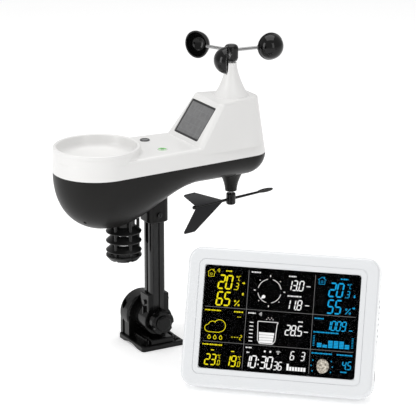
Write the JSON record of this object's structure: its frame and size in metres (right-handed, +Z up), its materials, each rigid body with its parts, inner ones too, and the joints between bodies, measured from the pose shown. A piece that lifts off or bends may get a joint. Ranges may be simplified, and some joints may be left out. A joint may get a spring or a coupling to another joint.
{
  "type": "home weather station",
  "caption": "Outdoor weather sensor on a tilting pole foot, with rain collector, solar tower, wind cups and vane, and a free-standing indoor display console.",
  "frame": {"origin": "centre of the foot plate's underside, in the middle of its four screw holes", "axes": "+Z up along the pole, X along the sensor body towards the wind sensors, -Y towards the display console"},
  "size_m": [0.3809, 0.455, 0.4677],
  "materials": {
    "gloss_black": "glossy moulded",
    "steel": "plated",
    "arm_steel": "dark polished",
    "satin_black": "satin",
    "shell_black": "satin moulded",
    "seal_rubber": "matt",
    "cover_white": "semi gloss",
    "cell_wrap": "printed sleeve",
    "inner_plastic": "moulded",
    "circuit_board": "solder mask",
    "panel_frame": "satin",
    "solar_cell": "glassy",
    "sensor_lens": "frosted",
    "vial_green": "clear green",
    "magnet": "plated",
    "rotor_black": "glossy",
    "fin_grey": "matt",
    "shield_black": "satin",
    "console_white": "gloss",
    "display_glass": "clear",
    "display_black": "black panel",
    "jack_black": "moulded",
    "button_grey": "moulded"
  },
  "bodies": {
    "foot": {"base_bracket": "gloss_black", "pivot_bolt": "steel", "clamp_washer": "steel"},
    "knob": {"clamp_knob": "gloss_black"},
    "head": {"pole_knuckle": "gloss_black", "pole": "satin_black", "pole_screws": "satin_black", "pole_nuts": "satin_black", "lower_shell": "shell_black", "shell_screws": "steel", "shell_seal": "seal_rubber", "upper_cover": "cover_white", "battery_cells": "cell_wrap", "battery_holder": "inner_plastic", "main_board": "circuit_board", "solar_frame": "panel_frame", "solar_cells": "solar_cell", "light_sensor_dome": "sensor_lens", "level_vial": "vial_green", "bucket_cradle": "inner_plastic", "reed_switch_board": "circuit_board", "rotor_bearings": "steel", "vane_bearings": "steel", "shield_plates": "shield_black", "shield_cap": "shield_black", "shield_posts": "shield_black", "humidity_probe": "inner_plastic"},
    "funnel": {"rain_funnel": "cover_white", "debris_filter": "cover_white"},
    "bucket": {"tipping_bucket": "inner_plastic", "bucket_axle": "steel", "bucket_magnet": "magnet"},
    "door": {"battery_door": "shell_black"},
    "reset": {"reset_button": "inner_plastic"},
    "rotor": {"rotor_hub": "rotor_black", "cup_arms": "arm_steel", "wind_cups": "rotor_black", "rotor_shaft": "steel", "rotor_magnet": "magnet"},
    "vane": {"vane_hub": "rotor_black", "vane_arm": "rotor_black", "vane_tail": "fin_grey", "vane_shaft": "steel", "vane_magnet": "magnet"},
    "console": {"console_front": "console_white", "console_back": "console_white", "display_glass": "display_glass", "display_panel": "display_black", "console_board": "circuit_board", "console_cells": "cell_wrap", "console_screws": "steel", "stand_pin": "steel", "power_jack": "jack_black"},
    "stand": {"console_stand": "console_white"},
    "console_door": {"console_battery_door": "console_white"},
    "button_1": {"back_button_1": "button_grey"},
    "button_2": {"back_button_2": "button_grey"},
    "button_3": {"back_button_3": "button_grey"},
    "button_4": {"back_button_4": "button_grey"},
    "button_5": {"back_button_5": "button_grey"}
  },
  "joints": [
    {"name": "mount_tilt", "type": "hinge", "parent": "foot", "child": "head", "pos_m": [0, -0.012, 0.041], "axis": [0, 1, 0], "range_deg": [-90, 90]},
    {"name": "knob_turn", "type": "hinge", "parent": "foot", "child": "knob", "pos_m": [0, -0.035, 0.041], "axis": [0, -1, 0], "range_deg": [0, 360]},
    {"name": "cup_spin", "type": "hinge", "parent": "head", "child": "rotor", "pos_m": [0.134, -0.012, 0.44], "axis": [0, 0, 1], "continuous": true},
    {"name": "vane_turn", "type": "hinge", "parent": "head", "child": "vane", "pos_m": [0.134, -0.012, 0.212], "axis": [0, 0, 1], "continuous": true},
    {"name": "funnel_lift", "type": "slide", "parent": "head", "child": "funnel", "axis": [0, 0, 1], "range_m": [0, 0.1]},
    {"name": "bucket_tip", "type": "hinge", "parent": "head", "child": "bucket", "pos_m": [-0.095, -0.012, 0.254], "axis": [0, 1, 0], "range_deg": [-14, 14]},
    {"name": "battery_door_drop", "type": "slide", "parent": "head", "child": "door", "axis": [0, 0, -1], "range_m": [0, 0.012]},
    {"name": "reset_press", "type": "slide", "parent": "head", "child": "reset", "axis": [0, 0, 1], "range_m": [0, 0.0015], "stiffness_N_per_m": 400, "springref_m": -0.0005},
    {"name": "console_lift", "type": "slide", "parent": "foot", "child": "console", "axis": [0, 0, 1], "range_m": [0, 0.2]},
    {"name": "stand_fold", "type": "hinge", "parent": "console", "child": "stand", "pos_m": [0.08346, -0.25228, 0.08863], "axis": [0.7431, -0.6691, 0], "range_deg": [-29.5, 0]},
    {"name": "console_door_off", "type": "slide", "parent": "console", "child": "console_door", "axis": [0.6288, 0.6983, -0.342], "range_m": [0, 0.03]},
    {"name": "button_1_press", "type": "slide", "parent": "console", "child": "button_1", "axis": [-0.6288, -0.6983, 0.342], "range_m": [0, 0.0012], "stiffness_N_per_m": 500, "springref_m": -0.0005},
    {"name": "button_2_press", "type": "slide", "parent": "console", "child": "button_2", "axis": [-0.6288, -0.6983, 0.342], "range_m": [0, 0.0012], "stiffness_N_per_m": 500, "springref_m": -0.0005},
    {"name": "button_3_press", "type": "slide", "parent": "console", "child": "button_3", "axis": [-0.6288, -0.6983, 0.342], "range_m": [0, 0.0012], "stiffness_N_per_m": 500, "springref_m": -0.0005},
    {"name": "button_4_press", "type": "slide", "parent": "console", "child": "button_4", "axis": [-0.6288, -0.6983, 0.342], "range_m": [0, 0.0012], "stiffness_N_per_m": 500, "springref_m": -0.0005},
    {"name": "button_5_press", "type": "slide", "parent": "console", "child": "button_5", "axis": [-0.6288, -0.6983, 0.342], "range_m": [0, 0.0012], "stiffness_N_per_m": 500, "springref_m": -0.0005}
  ]
}
